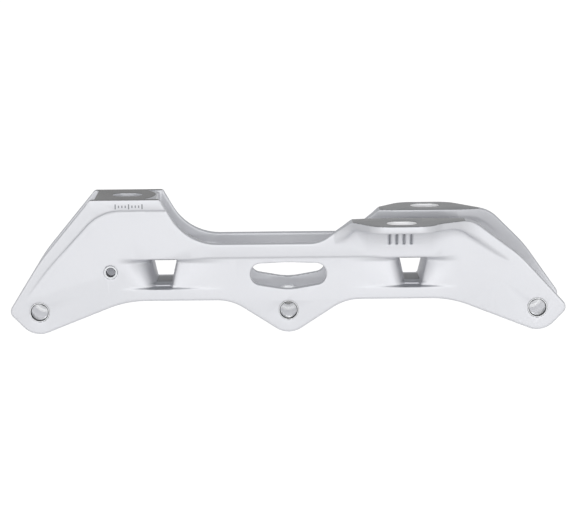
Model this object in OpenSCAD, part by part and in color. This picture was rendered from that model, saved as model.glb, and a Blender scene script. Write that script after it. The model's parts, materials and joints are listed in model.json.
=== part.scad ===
// Three-wheel inline skate frame: a one-piece casting with turned axle bushes and tapped brake inserts.
// X runs from heel to toe, Y to the skater's left and Z up. The origin is on the line that the three
// lobes stand on, under the middle axle and half way between the walls. This is the right foot's frame,
// so its outer side faces -Y.

/* [Wheels and axles] */
// Diameter of the wheels that the frame carries
wheel_d = 110; // [104:1:112]
// Distance from one axle to the next
axle_pitch = 121.5; // [120:0.5:126]
// Radial room between a wheel and the cross bridges
wheel_room = 2.5; // [2:0.25:4]
// Gap between the side walls
wheel_gap = 28; // [27:0.5:30]
// Rounding of the wheel wells beside the tyre
well_round = 12; // [9:0.5:13]

/* [Axle bushes] */
// Bore of the plain bushes
axle_bore_d = 8.1; // [8.05:0.05:8.4]
// Core diameter of the tapped bushes
axle_thread_d = 6.8; // [6.6:0.1:7]
// Diameter of the bush where it passes through the wall
bush_d = 9.4; // [9:0.1:11]
// Gap between the bearing seats of a pair of bushes
seat_gap = 24.6; // [24:0.1:26]
// Diameter of the bearing seats
seat_d = 13; // [12:0.5:15]
// Chamfer at the mouth of the bores
mouth_chamfer = 0.3; // [0.1:0.1:0.5]

/* [Side walls] */
// Thickness of a side wall
wall_t = 3.5; // [3:0.25:5]
// Radius of the lobes round the axles
lobe_r = 11; // [10:0.5:13]
// Distance from the end axles to the corner of the heel tip
heel_reach = 15.2; // [14:0.2:18]
// Distance from the end axles to the corner of the toe tip
toe_reach = 15.3; // [14:0.1:18]
// Rounding of the heel and toe tips
tip_r = 2.2; // [1:0.2:3]
// Slope of the lower edge from a tip to its lobe, in degrees
tip_fall = 46; // [40:1:50]
// Slope of the lower edge from an end lobe to the belly, in degrees
end_rise = 21.6; // [19:0.2:24]
// Slope of the lower edge beside the middle lobe, in degrees
mid_rise = 33; // [28:1:40]
// Height of the lower edge between the lobes
belly_h = 16; // [14:0.5:18]
// Height of the saddle between the boot mounts
saddle_h = 44; // [42:0.5:47]

/* [Rear mount] */
// Height of the rear boot seat
rear_seat_h = 66; // [65:0.5:72]
// Thickness of the rear boot plate
rear_plate_t = 5.2; // [4:0.2:7]
// Distance from the middle axle back to the rear end of the seat
rear_seat_back = 96; // [94:0.2:100]
// Distance from the middle axle back to the front end of the seat
rear_seat_front = 62; // [58:0.5:66]
// Distance from the middle axle back to the rear slot
rear_slot_back = 78.6; // [76:0.2:84]
// Distance from the middle axle back to the foot of the rear tower
tower_foot_back = 49; // [46:0.5:56]
// Distance from the corner of the heel tip forward to the bend of the heel slope
heel_bend_ahead = 15.7; // [13:0.1:18]
// Height of the bend of the heel slope
heel_bend_h = 35.9; // [33:0.1:38]

/* [Front mount] */
// Height of the front boot seats
front_seat_h = 55; // [53:0.5:60]
// Width over the two ears
ear_span = 74; // [70:0.5:80]
// Thickness of an ear at its edge
ear_t = 3.8; // [3:0.1:5]
// Straight length of an ear's outer edge, between its corners
ear_edge = 25; // [22:0.5:30]
// Rounding under an ear
cove_r = 11.5; // [8:0.5:13]
// Distance between the two front slots across the frame
front_slot_span = 52.4; // [48:0.2:56]
// Distance from the middle axle to the outer slot
outer_slot_x = 54.5; // [50:0.1:58]
// Distance from the middle axle to the inner slot
inner_slot_x = 69.4; // [64:0.1:72]
// Length of the outer seat ahead of its slot
outer_seat_ahead = 34.8; // [30:0.2:38]
// Length of the inner seat ahead of its slot
inner_seat_ahead = 31; // [28:0.2:34]
// Length of a seat behind its slot
seat_behind = 23.7; // [21:0.1:26]
// Run of the slope from the saddle up to a seat
seat_rise_run = 15.6; // [12:0.2:20]

/* [Boot slots] */
// Length of a boot slot
slot_l = 14; // [11:0.5:16]
// Width of a boot slot
slot_w = 9; // [7:0.5:10]
// Width of the seat for the bolt's head under an ear
head_w = 13; // [11:0.5:14]

/* [Bridges and windows] */
// Height of the roof of the cross bridges
bridge_top = 38.4; // [37:0.2:41]
// Height of the underside of the cross bridges
bridge_bottom = 20; // [18:0.5:21]
// Height of the floor of the bridge windows
tunnel_floor = 23.9; // [23.2:0.1:25]
// Height of the roof of the bridge windows
tunnel_roof = 34.2; // [33:0.1:36]
// Width of a bridge window at its roof
tunnel_roof_w = 11.8; // [10:0.1:12.5]
// Width of a bridge window at its floor
tunnel_floor_w = 7.2; // [5:0.1:7.5]
// Depth of the funnels in front of the bridge windows
funnel_depth = 11; // [8:0.5:12]
// Half width of a funnel at half its depth
funnel_half_w = 6; // [5:0.25:7]
// Run of a funnel from its window towards the end axle
funnel_short = 24; // [20:1:27]
// Run of a funnel from its window towards the middle axle
funnel_long = 36; // [30:1:40]
// Height of the floor of the funnels
funnel_floor = 22; // [20.5:0.1:22.8]
// Height of the crease along the wall
crease_h = 37; // [36:0.1:38]
// Depth of the step at the crease
crease_step = 0.6; // [0.3:0.1:1]
// Width of the window over the middle axle
mid_window_w = 37; // [32:0.5:42]
// Height of the roof of the middle window
mid_window_top = 33.8; // [32:0.2:35]
// Height of the floor of the middle window
mid_window_bottom = 22.2; // [20:0.2:24]

/* [Rim and brake hole] */
// Width of the rim over the heel panel
rim_w = 5.2; // [4:0.2:7]
// Width of the rim along the heel slope, at its upper end
heel_rim_w = 7.2; // [5:0.2:8]
// Depth of the heel panel under the rim
panel_depth = 1; // [0.4:0.1:1.4]
// Width of the flange along the toe slope
toe_rim_w = 7; // [5:0.2:8]
// Distance from the middle axle back to the brake hole
brake_back = 86.4; // [84:0.2:92]
// Height of the brake hole
brake_h = 30.4; // [27:0.2:33]
// Core diameter of the brake thread
brake_thread_d = 4.3; // [4:0.1:5]
// Diameter of a brake insert
brake_insert_d = 6.5; // [6:0.1:8]
// Diameter of the flange of a brake insert
brake_flange_d = 9; // [8.5:0.5:11]
// Thickness of the flange of a brake insert
brake_flange_t = 0.8; // [0.5:0.1:1]

/* [Hidden] */
$fn = 64;

OUTER = -1;
INNER = 1;
cast_silver = "#dfe0e4";
turned_steel = "#8e9196";
bright_insert = "#cfd2d6";

// Extra length of a cut past the face that it opens
over = 1;
// Depth that a plate or bridge reaches into the walls
root = 1;
// Degrees between the points of a rounded corner
arc_step = 7.5;

axle_h = lobe_r;
axle_xs = [-axle_pitch, 0, axle_pitch];
wall_in = wheel_gap / 2;
wall_out = wall_in + wall_t;
ear_reach = ear_span / 2;
well_r = wheel_d / 2 + wheel_room;
bridge_x = axle_pitch / 2;
top_h = rear_seat_h + over;
long_reach = axle_pitch + heel_reach + toe_reach;

// Roundings of the side outline
belly_r = 50;
mid_belly_r = 24;
seat_corner_r = 2;
seat_foot_r = 15;
seat_back_r = 3;
tower_foot_r = 26.5;
heel_bend_r = 90;
toe_top_r = 10;
toe_bend_r = 60;

// Rounding of the heel panel's upper corner, and how far ahead of the tower's foot the panel fades out
panel_corner_r = 14;
panel_ahead = 8;

// Share of the toe slope at which it bends, and how far the bend stands above a straight line
toe_bend_share = 0.5;
outer_toe_bulge = 3.9;
inner_toe_bulge = 3.8;

// Plan of an ear: run of its slanted ends, and the corners that lead from it to the toe, as
// distances ahead of the slot and widths outside the wall
ear_run = 15.9;
ear_corner_r = 7;
outer_toe_flare = [[19.4, 11.1, 8], [33.4, 4, 30]];
inner_toe_flare = [[26.6, 1, 8]];
toe_flare_end = 112;

function flat(p) = [p[0], p[1]];
function unit(v) = v / norm(v);

// Corner b, between its neighbours a and c, moved into the corner to lie at one distance from its edge
// towards a and at another from its edge towards c
function inset(a, b, c, from_a, from_c) =
    let (u = unit(flat(a) - flat(b)),
         v = unit(flat(c) - flat(b)))
    flat(b) + (u * from_c + v * from_a) / sin(acos(u * v));

// Points of the arc that rounds corner b, between its neighbours a and c, to the radius b[2]
function corner_arc(a, b, c) =
    let (u = unit(flat(a) - flat(b)),
         v = unit(flat(c) - flat(b)),
         half = acos(u * v) / 2,
         centre = inset(a, b, c, b[2], b[2]),
         first = flat(b) + u * b[2] / tan(half) - centre,
         turn = cross(v, u) > 0 ? 1 : -1,
         sweep = 180 - 2 * half,
         steps = ceil(sweep / arc_step))
    b[2] == 0 ? [flat(b)] :
    [for (k = [0 : steps])
        let (t = turn * sweep * k / steps)
        centre + [first[0] * cos(t) - first[1] * sin(t), first[0] * sin(t) + first[1] * cos(t)]];

// An outline whose corners [x, y, radius] are rounded
function rounded(c) =
    let (n = len(c))
    [for (i = [0 : n - 1]) each corner_arc(c[(i + n - 1) % n], c[i], c[(i + 1) % n])];

// Corner that, rounded to lobe_r, is concentric with the axle at x. The edge comes in at one slope and
// leaves at the other
function lobe_corner(x, slope_in, slope_out) =
    let (half = (slope_out - slope_in) / 2,
         down = (slope_out + slope_in) / 2 - 90,
         far = lobe_r / cos(half))
    [x + far * cos(down), axle_h + far * sin(down), lobe_r];

// Distance from an axle at which an edge that leaves its lobe at a slope reaches a height
function edge_run(slope, h) = lobe_r * sin(slope) + (h - axle_h + lobe_r * cos(slope)) / tan(slope);
// Height of the edge that falls from a tip to its lobe, at a distance from the axle
function tip_h(reach) = axle_h - lobe_r * cos(tip_fall) + (reach - lobe_r * sin(tip_fall)) * tan(tip_fall);

heel_tip = [-axle_pitch - heel_reach, tip_h(heel_reach)];
toe_tip = [axle_pitch + toe_reach, tip_h(toe_reach)];
heel_bend = [heel_tip[0] + heel_bend_ahead, heel_bend_h];
rear_seat_heel = [-rear_seat_back, rear_seat_h];
rear_seat_toe = [-rear_seat_front, rear_seat_h];

function slot_x(side) = side == OUTER ? outer_slot_x : inner_slot_x;
function seat_end(side) = side == OUTER ? outer_slot_x + outer_seat_ahead : inner_slot_x + inner_seat_ahead;
function toe_bend(side) =
    let (top = [seat_end(side), front_seat_h],
         bulge = side == OUTER ? outer_toe_bulge : inner_toe_bulge)
    top + (toe_tip - top) * toe_bend_share + [0, bulge];

// Side view of one wall, as [x, z]
function side_outline(side) = rounded([
    [heel_tip[0], heel_tip[1], tip_r],
    lobe_corner(-axle_pitch, -tip_fall, end_rise),
    [-axle_pitch + edge_run(end_rise, belly_h), belly_h, belly_r],
    [-edge_run(mid_rise, belly_h), belly_h, mid_belly_r],
    lobe_corner(0, -mid_rise, mid_rise),
    [edge_run(mid_rise, belly_h), belly_h, mid_belly_r],
    [axle_pitch - edge_run(end_rise, belly_h), belly_h, belly_r],
    lobe_corner(axle_pitch, -end_rise, tip_fall),
    [toe_tip[0], toe_tip[1], tip_r],
    [toe_bend(side)[0], toe_bend(side)[1], toe_bend_r],
    [seat_end(side), front_seat_h, toe_top_r],
    [slot_x(side) - seat_behind, front_seat_h, seat_back_r],
    [slot_x(side) - seat_behind - seat_rise_run, saddle_h, seat_foot_r],
    [-tower_foot_back, saddle_h, tower_foot_r],
    concat(rear_seat_toe, seat_corner_r),
    concat(rear_seat_heel, seat_corner_r),
    concat(heel_bend, heel_bend_r)
]);

// Top view of one wall with its ear, as [x, distance from the middle]
function plan_outline(side) =
    let (back = slot_x(side) - ear_edge / 2,
         ahead = slot_x(side) + ear_edge / 2,
         flare = side == OUTER ? outer_toe_flare : inner_toe_flare)
    rounded(concat(
        [[-long_reach, wall_in, 0], [long_reach, wall_in, 0], [long_reach, wall_out, 0],
         [toe_flare_end, wall_out, 0]],
        [for (i = [len(flare) - 1 : -1 : 0])
            [slot_x(side) + flare[i][0], wall_out + flare[i][1], flare[i][2]]],
        [[ahead, ear_reach, ear_corner_r], [back, ear_reach, ear_corner_r],
         [back - ear_run, wall_out, 0], [-long_reach, wall_out, 0]]));

// End view of one wall with the cove under its ear, as [distance from the middle, z]
function end_outline() = rounded([
    [wall_in, -over, 0],
    [wall_out, -over, 0],
    [wall_out, front_seat_h - ear_t, cove_r],
    [ear_reach + over, front_seat_h - ear_t, 0],
    [ear_reach + over, top_h, 0],
    [wall_in, top_h, 0]
]);

// A flat shape drawn as [x, z], made solid between two distances from the middle on one side
module across(side, from, to) {
    mirror([0, side == OUTER ? 0 : 1, 0])
        translate([0, -from, 0])
            rotate([90, 0, 0])
                linear_extrude(to - from) children();
}

// A flat shape drawn as [x, distance from the middle], made solid between two heights on one side
module upright(side, low, high) {
    mirror([0, side == OUTER ? 1 : 0, 0])
        translate([0, 0, low])
            linear_extrude(high - low) children();
}

// A flat shape drawn as [distance from the middle, z], made solid between two stations on one side
module lengthwise(side, rear, front) {
    mirror([0, side == OUTER ? 1 : 0, 0])
        translate([rear, 0, 0])
            rotate([90, 0, 90])
                linear_extrude(front - rear) children();
}

// A stadium of a length and width, along X
module stadium(length, width) {
    square([length - width, width], center = true);
    for (end = [-1, 1])
        translate([end * (length - width) / 2, 0])
            circle(d = width);
}

module side_wall(side) {
    intersection() {
        across(side, wall_in, ear_reach) polygon(side_outline(side));
        upright(side, -over, top_h) polygon(plan_outline(side));
        lengthwise(side, -long_reach, long_reach) polygon(end_outline());
    }
}

// Flange that carries an ear's edge on down the toe slope, until its plan narrows to the wall
module toe_flange(side) {
    ahead = [slot_x(side) + ear_edge / 2, front_seat_h];
    top = [seat_end(side), front_seat_h];
    bend = toe_bend(side);
    intersection() {
        across(side, wall_in, ear_reach) polygon(side_outline(side));
        upright(side, -over, top_h) polygon(plan_outline(side));
        across(side, wall_in, ear_reach)
            polygon(rounded([
                [ahead[0], top_h, 0], [ahead[0], front_seat_h - toe_rim_w, 0],
                concat(inset(ahead, top, bend, toe_rim_w, toe_rim_w), toe_top_r),
                concat(inset(top, bend, toe_tip, toe_rim_w, toe_rim_w), 0), [bend[0], top_h, 0]
            ]));
    }
}

// Room for one wheel: a disc whose edges are rounded beside the tyre
module wheel_well(x) {
    translate([x, 0, axle_h])
        rotate([90, 0, 0])
            rotate_extrude() {
                translate([0, -wall_in])
                    square([well_r - well_round, wheel_gap]);
                translate([0, well_round - wall_in])
                    square([well_r, wheel_gap - 2 * well_round]);
                for (end = [-1, 1])
                    translate([well_r - well_round, end * (wall_in - well_round)])
                        circle(r = well_round);
            }
}

module wheel_wells() {
    for (x = axle_xs)
        wheel_well(x);
}

// Plate between the walls that carries the rear boot seat
module rear_plate() {
    difference() {
        translate([-rear_seat_back + seat_corner_r, -wall_in - root, rear_seat_h - rear_plate_t])
            cube([rear_seat_back - rear_seat_front - 2 * seat_corner_r, wheel_gap + 2 * root, rear_plate_t]);
        wheel_wells();
    }
}

// Bridge between the walls, in the space that two wheels leave
module cross_bridge(x) {
    difference() {
        translate([x - bridge_x / 2, -wall_in - root, bridge_bottom])
            cube([bridge_x, wheel_gap + 2 * root, bridge_top - bridge_bottom]);
        wheel_wells();
    }
}

// Depth of a funnel at a distance from its window, falling to nothing at its end
function funnel_bell(d) = 1 / (1 + pow(d / funnel_half_w, 2));
function funnel_cut(d, end) = funnel_depth * (funnel_bell(d) - funnel_bell(end)) / (1 - funnel_bell(end));

// Funnel in a wall in front of a bridge window: steep at the window, easing out towards the axles
module funnel(side, end) {
    steps = 24;
    runs = [for (k = [-steps : steps]) k < 0 ? k * funnel_short / steps : k * funnel_long / steps];
    upright(side, funnel_floor, crease_h)
        translate([end * bridge_x, 0])
            polygon(concat(
                [[end * funnel_short, wall_out + over], [-end * funnel_long, wall_out + over]],
                [for (k = [2 * steps : -1 : 0])
                    let (run_end = runs[k] < 0 ? funnel_short : funnel_long)
                    [-end * runs[k], wall_out - funnel_cut(runs[k], run_end)]]));
}

// Window through a cross bridge, wider at its roof
module bridge_window(x) {
    across(OUTER, -ear_reach, ear_reach)
        polygon([
            [x - tunnel_floor_w / 2, tunnel_floor], [x + tunnel_floor_w / 2, tunnel_floor],
            [x + tunnel_roof_w / 2, tunnel_roof], [x - tunnel_roof_w / 2, tunnel_roof]
        ]);
}

// Window over the middle axle: crowned roof, round ends and a floor that dips to the middle
module mid_window() {
    half = mid_window_w / 2;
    crown = 0.8;
    dip = 2.2;
    end_r = 5;
    crown_r = 60;
    dip_r = 30;
    across(OUTER, -ear_reach, ear_reach)
        polygon(rounded([
            [-half, mid_window_bottom + dip, end_r], [0, mid_window_bottom - dip / 2, dip_r],
            [half, mid_window_bottom + dip, end_r], [half, mid_window_top, end_r],
            [0, mid_window_top + crown, crown_r], [-half, mid_window_top, end_r]
        ]));
}

// Step under the crease: the wall leans in by crease_step and comes back to full width at the belly
module crease_cut(side) {
    lengthwise(side, -bridge_x - funnel_short, bridge_x + funnel_short)
        polygon([
            [wall_out - crease_step, crease_h], [wall_out + over, crease_h],
            [wall_out + over, belly_h], [wall_out, belly_h]
        ]);
}

// Panel between the heel rim and the saddle, deepest under the rear seat
module heel_panel(side) {
    low = [-axle_pitch - heel_reach / 4, axle_h + lobe_r];
    high = [-tower_foot_back + panel_ahead, saddle_h];
    lean = atan2(high[1] - low[1], high[0] - low[0]);
    rise = rear_seat_h - saddle_h;
    intersection() {
        across(side, wall_out - 2 * panel_depth, wall_out + over)
            polygon(rounded([
                [high[0], low[1], 0], [high[0], rear_seat_h - rim_w, 0],
                concat(inset(rear_seat_toe, rear_seat_heel, heel_bend, rim_w, heel_rim_w), panel_corner_r),
                concat(inset(rear_seat_heel, heel_bend, heel_tip, rim_w, rim_w), heel_bend_r),
                [low[0], low[1], 0]
            ]));
        translate([low[0], 0, low[1]])
            rotate([0, -lean, 0])
                lengthwise(side, -rise, norm(high - low) + rise)
                    polygon([
                        [wall_out, 0], [wall_out + over, 0], [wall_out + over, 2 * rise],
                        [wall_out - 2 * panel_depth, 2 * rise]
                    ]);
    }
}

// Slot for a boot bolt, straight through
module boot_slot(x, y, low) {
    translate([x, y, low])
        linear_extrude(top_h - low) stadium(slot_l, slot_w);
}

// Flat seat for the bolt's head under an ear
module head_seat(side) {
    translate([slot_x(side), side * front_slot_span / 2, belly_h])
        linear_extrude(front_seat_h - ear_t - belly_h)
            stadium(head_w + slot_l - slot_w, head_w);
}

// Straight hole across the frame
module cross_hole(x, h, d) {
    translate([x, ear_reach, h])
        rotate([90, 0, 0])
            cylinder(h = ear_span, d = d);
}

module frame_casting() {
    color(cast_silver)
        difference() {
            union() {
                for (side = [OUTER, INNER]) {
                    side_wall(side);
                    toe_flange(side);
                }
                rear_plate();
                for (x = [-bridge_x, bridge_x])
                    cross_bridge(x);
            }
            for (side = [OUTER, INNER]) {
                for (end = [-1, 1])
                    funnel(side, end);
                crease_cut(side);
                heel_panel(side);
                head_seat(side);
                boot_slot(slot_x(side), side * front_slot_span / 2, belly_h);
            }
            boot_slot(-rear_slot_back, 0, saddle_h);
            for (x = [-bridge_x, bridge_x])
                bridge_window(x);
            mid_window();
            for (x = axle_xs)
                cross_hole(x, axle_h, bush_d);
            cross_hole(-brake_back, brake_h, brake_insert_d);
        }
}

// A turned sleeve in a wall with a flange inside the wall and a chamfer at the mouth of its bore
module flanged_sleeve(side, x, h, sleeve_d, flange_d, flange_t, bore_d) {
    translate([x, side * (wall_in - flange_t), h])
        rotate([side == OUTER ? 90 : -90, 0, 0])
            difference() {
                union() {
                    cylinder(h = flange_t, d = flange_d);
                    cylinder(h = flange_t + wall_t, d = sleeve_d);
                }
                translate([0, 0, -over])
                    cylinder(h = flange_t + wall_t + 2 * over, d = bore_d);
                translate([0, 0, flange_t + wall_t - mouth_chamfer])
                    cylinder(h = 2 * mouth_chamfer, d1 = bore_d, d2 = bore_d + 4 * mouth_chamfer);
            }
}

module axle_bush(side, x) {
    color(turned_steel)
        flanged_sleeve(side, x, axle_h, bush_d, seat_d, wall_in - seat_gap / 2,
                       side == OUTER ? axle_bore_d : axle_thread_d);
}

module brake_insert(side) {
    color(bright_insert)
        flanged_sleeve(side, -brake_back, brake_h, brake_insert_d, brake_flange_d, brake_flange_t,
                       brake_thread_d);
}

frame_casting();
axle_bush(OUTER, -axle_pitch);  // rear_outer_bush
axle_bush(OUTER, 0);  // mid_outer_bush
axle_bush(OUTER, axle_pitch);  // front_outer_bush
axle_bush(INNER, -axle_pitch);  // rear_inner_bush
axle_bush(INNER, 0);  // mid_inner_bush
axle_bush(INNER, axle_pitch);  // front_inner_bush
brake_insert(OUTER);  // outer_brake_insert
brake_insert(INNER);  // inner_brake_insert
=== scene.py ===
"""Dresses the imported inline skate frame: a smooth casting, turned bushes, plated inserts and a stage."""
import json
import math
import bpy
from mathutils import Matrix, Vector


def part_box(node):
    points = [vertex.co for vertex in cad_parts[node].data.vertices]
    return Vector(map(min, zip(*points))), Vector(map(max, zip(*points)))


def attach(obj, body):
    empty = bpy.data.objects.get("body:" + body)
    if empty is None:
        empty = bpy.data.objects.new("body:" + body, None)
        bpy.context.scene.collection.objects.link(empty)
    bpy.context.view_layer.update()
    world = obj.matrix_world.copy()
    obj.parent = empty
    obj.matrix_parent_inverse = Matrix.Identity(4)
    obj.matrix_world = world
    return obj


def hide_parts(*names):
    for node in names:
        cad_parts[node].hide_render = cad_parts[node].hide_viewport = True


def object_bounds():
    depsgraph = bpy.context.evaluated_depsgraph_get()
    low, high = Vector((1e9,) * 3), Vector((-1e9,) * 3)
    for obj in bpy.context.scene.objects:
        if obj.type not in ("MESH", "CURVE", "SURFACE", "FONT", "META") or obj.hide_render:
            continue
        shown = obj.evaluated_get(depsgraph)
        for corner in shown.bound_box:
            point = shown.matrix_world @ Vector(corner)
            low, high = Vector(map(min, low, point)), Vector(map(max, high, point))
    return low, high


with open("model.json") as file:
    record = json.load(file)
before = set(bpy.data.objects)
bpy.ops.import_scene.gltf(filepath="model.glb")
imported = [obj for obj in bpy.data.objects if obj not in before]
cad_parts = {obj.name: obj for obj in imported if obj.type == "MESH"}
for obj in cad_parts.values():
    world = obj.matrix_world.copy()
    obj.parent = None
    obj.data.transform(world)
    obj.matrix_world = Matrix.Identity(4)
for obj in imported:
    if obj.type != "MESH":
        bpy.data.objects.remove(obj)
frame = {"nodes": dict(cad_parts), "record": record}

from types import SimpleNamespace

import bpy
import numpy as np
from bpy.props import FloatProperty, FloatVectorProperty, IntProperty, PointerProperty
from mathutils import Matrix, Vector

bl_info = {
    "name": "Inline skate frame",
    "version": (1, 0, 0),
    "blender": (4, 5, 0),
    "location": "View3D > Sidebar > Skate frame",
    "description": "Builds the casting of a three-wheel skate frame, finishes its bushes and sets its stage",
    "category": "Object",
}

CAD_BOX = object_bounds()
MM = 0.001
OUTER, INNER = -1, 1
# Places of the record's mounts, in mm
PLACES = {mount["name"]: [part / MM for part in mount["pos_m"]] for mount in frame["record"]["mounts"]}
BUSHES = [name for name in sorted(frame["nodes"]) if name.endswith("_bush")]
INSERTS = [name for name in sorted(frame["nodes"]) if name.endswith("_insert")]


def length(name, default_mm, description):
    """A length property whose default is given in millimetres."""
    return FloatProperty(name=name, description=description, default=default_mm * MM, unit="LENGTH",
                         precision=5)


def angle(name, default_deg, description):
    """An angle property whose default is given in degrees."""
    return FloatProperty(name=name, description=description, default=math.radians(default_deg),
                         subtype="ANGLE")


def colour(name, default_hex, description):
    """A colour property whose default is an sRGB hex value."""
    return FloatVectorProperty(name=name, description=description, size=4, subtype="COLOR",
                               default=linear(default_hex), min=0.0, max=1.0)


def linear(hex_value):
    """Linear red, green, blue and alpha of an sRGB hex colour such as #DFE0E4."""
    share = np.array([int(hex_value[i:i + 2], 16) for i in (1, 3, 5)]) / 255
    rgb = np.where(share <= 0.04045, share / 12.92, ((share + 0.055) / 1.055) ** 2.4)
    return (*rgb.tolist(), 1.0)


class CastingSizes(bpy.types.PropertyGroup):
    """Sizes of the casting, the same as in the part's source, with the roundings that casting adds"""
    axle_pitch: length("Axle pitch", PLACES["front_axle_bore"][0], "From one axle to the next")
    axle_h: length("Axle height", PLACES["mid_axle_bore"][2], "Height of the axles over the lobes")
    lobe_r: length("Lobe radius", 11, "Radius of the lobes round the axles")
    well_r: length("Well radius", 57.5, "Radius of the room for a wheel")
    well_round: length("Well rounding", 12, "Rounding of the wheel wells beside the tyre")
    wall_in: length("Wall inside", 14, "From the middle to a wall's inner face")
    wall_out: length("Wall outside", 17.5, "From the middle to a wall's outer face")
    heel_reach: length("Heel reach", 15.2, "From the rear axle to the corner of the heel tip")
    toe_reach: length("Toe reach", 15.3, "From the front axle to the corner of the toe tip")
    belly_h: length("Belly height", 16, "Height of the lower edge between the lobes")
    saddle_h: length("Saddle height", 44, "Height of the saddle between the boot mounts")
    rear_seat_h: length("Rear seat height", PLACES["rear_boot_seat"][2], "Height of the rear seat")
    rear_plate_t: length("Rear plate", 5.2, "Thickness of the rear boot plate")
    rear_seat_back: length("Rear seat, heel end", 96, "From the middle axle back to the seat's heel end")
    rear_seat_front: length("Rear seat, toe end", 62, "From the middle axle back to the seat's toe end")
    tower_foot_back: length("Tower foot", 49, "From the middle axle back to the foot of the tower")
    heel_bend_ahead: length("Heel bend run", 15.7, "From the heel tip forward to the bend of its slope")
    heel_bend_h: length("Heel bend height", 35.9, "Height of the bend of the heel slope")
    front_seat_h: length("Front seat height", PLACES["front_outer_seat"][2], "Height of the ears")
    ear_reach: length("Ear reach", 37, "From the middle to an ear's outer edge")
    ear_t: length("Ear thickness", 3.6, "Thickness of an ear at its edge")
    ear_edge: length("Ear edge", 25, "Straight length of an ear's outer edge")
    ear_run: length("Ear run", 15.9, "Run of the slanted ends of an ear")
    cove_reach: length("Cove", 14, "Reach of the soft curve under an ear")
    outer_seat_ahead: length("Outer seat", 34.8, "Length of the outer seat ahead of its slot")
    inner_seat_ahead: length("Inner seat", 31, "Length of the inner seat ahead of its slot")
    seat_behind: length("Seat behind", 23.7, "Length of a seat behind its slot")
    seat_rise_run: length("Seat rise", 15.6, "Run of the slope from the saddle up to a seat")
    slot_l: length("Slot length", 14, "Length of a boot slot")
    slot_w: length("Slot width", 9, "Width of a boot slot")
    head_w: length("Head seat", 13, "Width of the bolt head's seat under an ear")
    bridge_top: length("Bridge roof", 38.4, "Height of the roof of the cross bridges")
    bridge_bottom: length("Bridge underside", 20, "Height of the underside of the cross bridges")
    tunnel_floor: length("Window floor", 23.9, "Height of the floor of the bridge windows")
    tunnel_roof: length("Window roof", 34.2, "Height of the roof of the bridge windows")
    tunnel_floor_w: length("Window floor width", 7.2, "Width of a bridge window at its floor")
    tunnel_roof_w: length("Window roof width", 11.8, "Width of a bridge window at its roof")
    funnel_depth: length("Funnel depth", 9, "Depth of the funnels at the edges of the bridge windows")
    flank_end: length("Flank, end side", 6.3, "Depth of a flank towards the end axle, at its top")
    flank_mid: length("Flank, middle side", 1.5, "Depth of a flank towards the middle axle, at its top")
    funnel_end: length("Funnel spread, end side", 6, "Run in which a funnel falls to a third, at its top")
    funnel_mid: length("Funnel spread, middle side", 8, "Run in which a funnel falls to a third, at its top")
    ledge_depth: length("Ledge depth", 0.9, "Depth of the gentle hollow round a funnel")
    ledge_run: length("Ledge run", 12, "Run in which the gentle hollow falls to a third")
    funnel_short: length("Funnel, end side", 24, "Run of a funnel towards the end axle")
    funnel_long: length("Funnel, middle side", 36, "Run of a funnel towards the middle axle")
    funnel_floor: length("Funnel floor", 22, "Height of the floor of the funnels")
    crease_h: length("Crease height", 37, "Height of the crease along the wall")
    crease_step: length("Crease step", 0.6, "Depth of the step at the crease")
    mid_window_w: length("Middle window", 37, "Width of the window over the middle axle")
    mid_window_top: length("Middle window roof", 33.8, "Height of the roof of the middle window")
    mid_window_bottom: length("Middle window floor", 22.2, "Height of the floor of the middle window")
    rim_w: length("Heel rim", 5.2, "Width of the rim over the heel panel")
    heel_rim_w: length("Slope rim", 7.2, "Width of the rim along the heel slope, at its upper end")
    toe_rim_w: length("Toe rim", 7, "Width of the flange along the toe slope")
    panel_depth: length("Panel depth", 1, "Depth of the heel panel under its rim")
    bush_hole_d: length("Bush hole", 9.5, "Hole for a bush, with the fine gap that shows as a dark ring")
    insert_hole_d: length("Insert hole", 6.6, "Hole for a brake insert")
    edge_r: length("Cast edge", 0.9, "Rounding of the cast edges")
    milled_edge_r: length("Milled edge", 0.25, "Rounding of the edges round a milled seat")
    grid: length("Grid", 0.45, "Spacing of the grid that the casting is worked out on")
    triangles: IntProperty(name="Triangles", description="Most triangles in the casting", default=190000)


class FinishColours(bpy.types.PropertyGroup):
    """Colours of the frame's finishes, and of the painted shade and painted light that some of them carry"""
    cast: colour("Cast", "#DFE0E4", "Satin clear coat over the casting")
    # Partly painted shade: the ears' seats are bare milled metal, made darker for the weak light on faces
    # that look up
    milled: colour("Milled ears", "#56585B", "Bare milled seats of the ears")
    # Painted shade: the rear seat is made darker still than the ears' seats
    milled_rear_shade: colour("Milled rear seat", "#1A1B1D", "Bare milled rear seat, cut dry and darker")
    # Painted shade: faces that look up are greyed for the weak light from above
    top_shade: colour("Ground edges", "#B6B8BD", "Upper edges whose flash was ground off")
    # Painted shade on the walls' inner faces towards the toe
    core: colour("Core side", "#C6C7CB", "Rough inner faces of the walls, towards the toe")
    # Painted shade on the floors of the bridge windows
    sill_shade: colour("Window floors", "#88898D", "Floors of the bridge windows, as cast")
    # Painted light on the walls of the boot slots
    slot: colour("Slots", "#FDFDFE", "Bright walls of the boot slots, cut after coating")
    # The adjusting scale is the frame's own mark; the grooves' darkening is painted shade
    mark: colour("Marks", "#85878C", "Adjusting scale, and the feet of the grooves")
    # Painted shade in the bores of the bushes and inserts
    bore_shade: colour("Mouths", "#26282B", "Dark bevels at the mouths of the bushes")
    steel: colour("Steel", "#F2F3F5", "Turned steel of the bushes")
    insert: colour("Insert", "#D8DADD", "Plated brake inserts")
    floor: colour("Floor", "#F4F4F5", "Studio floor")


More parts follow.
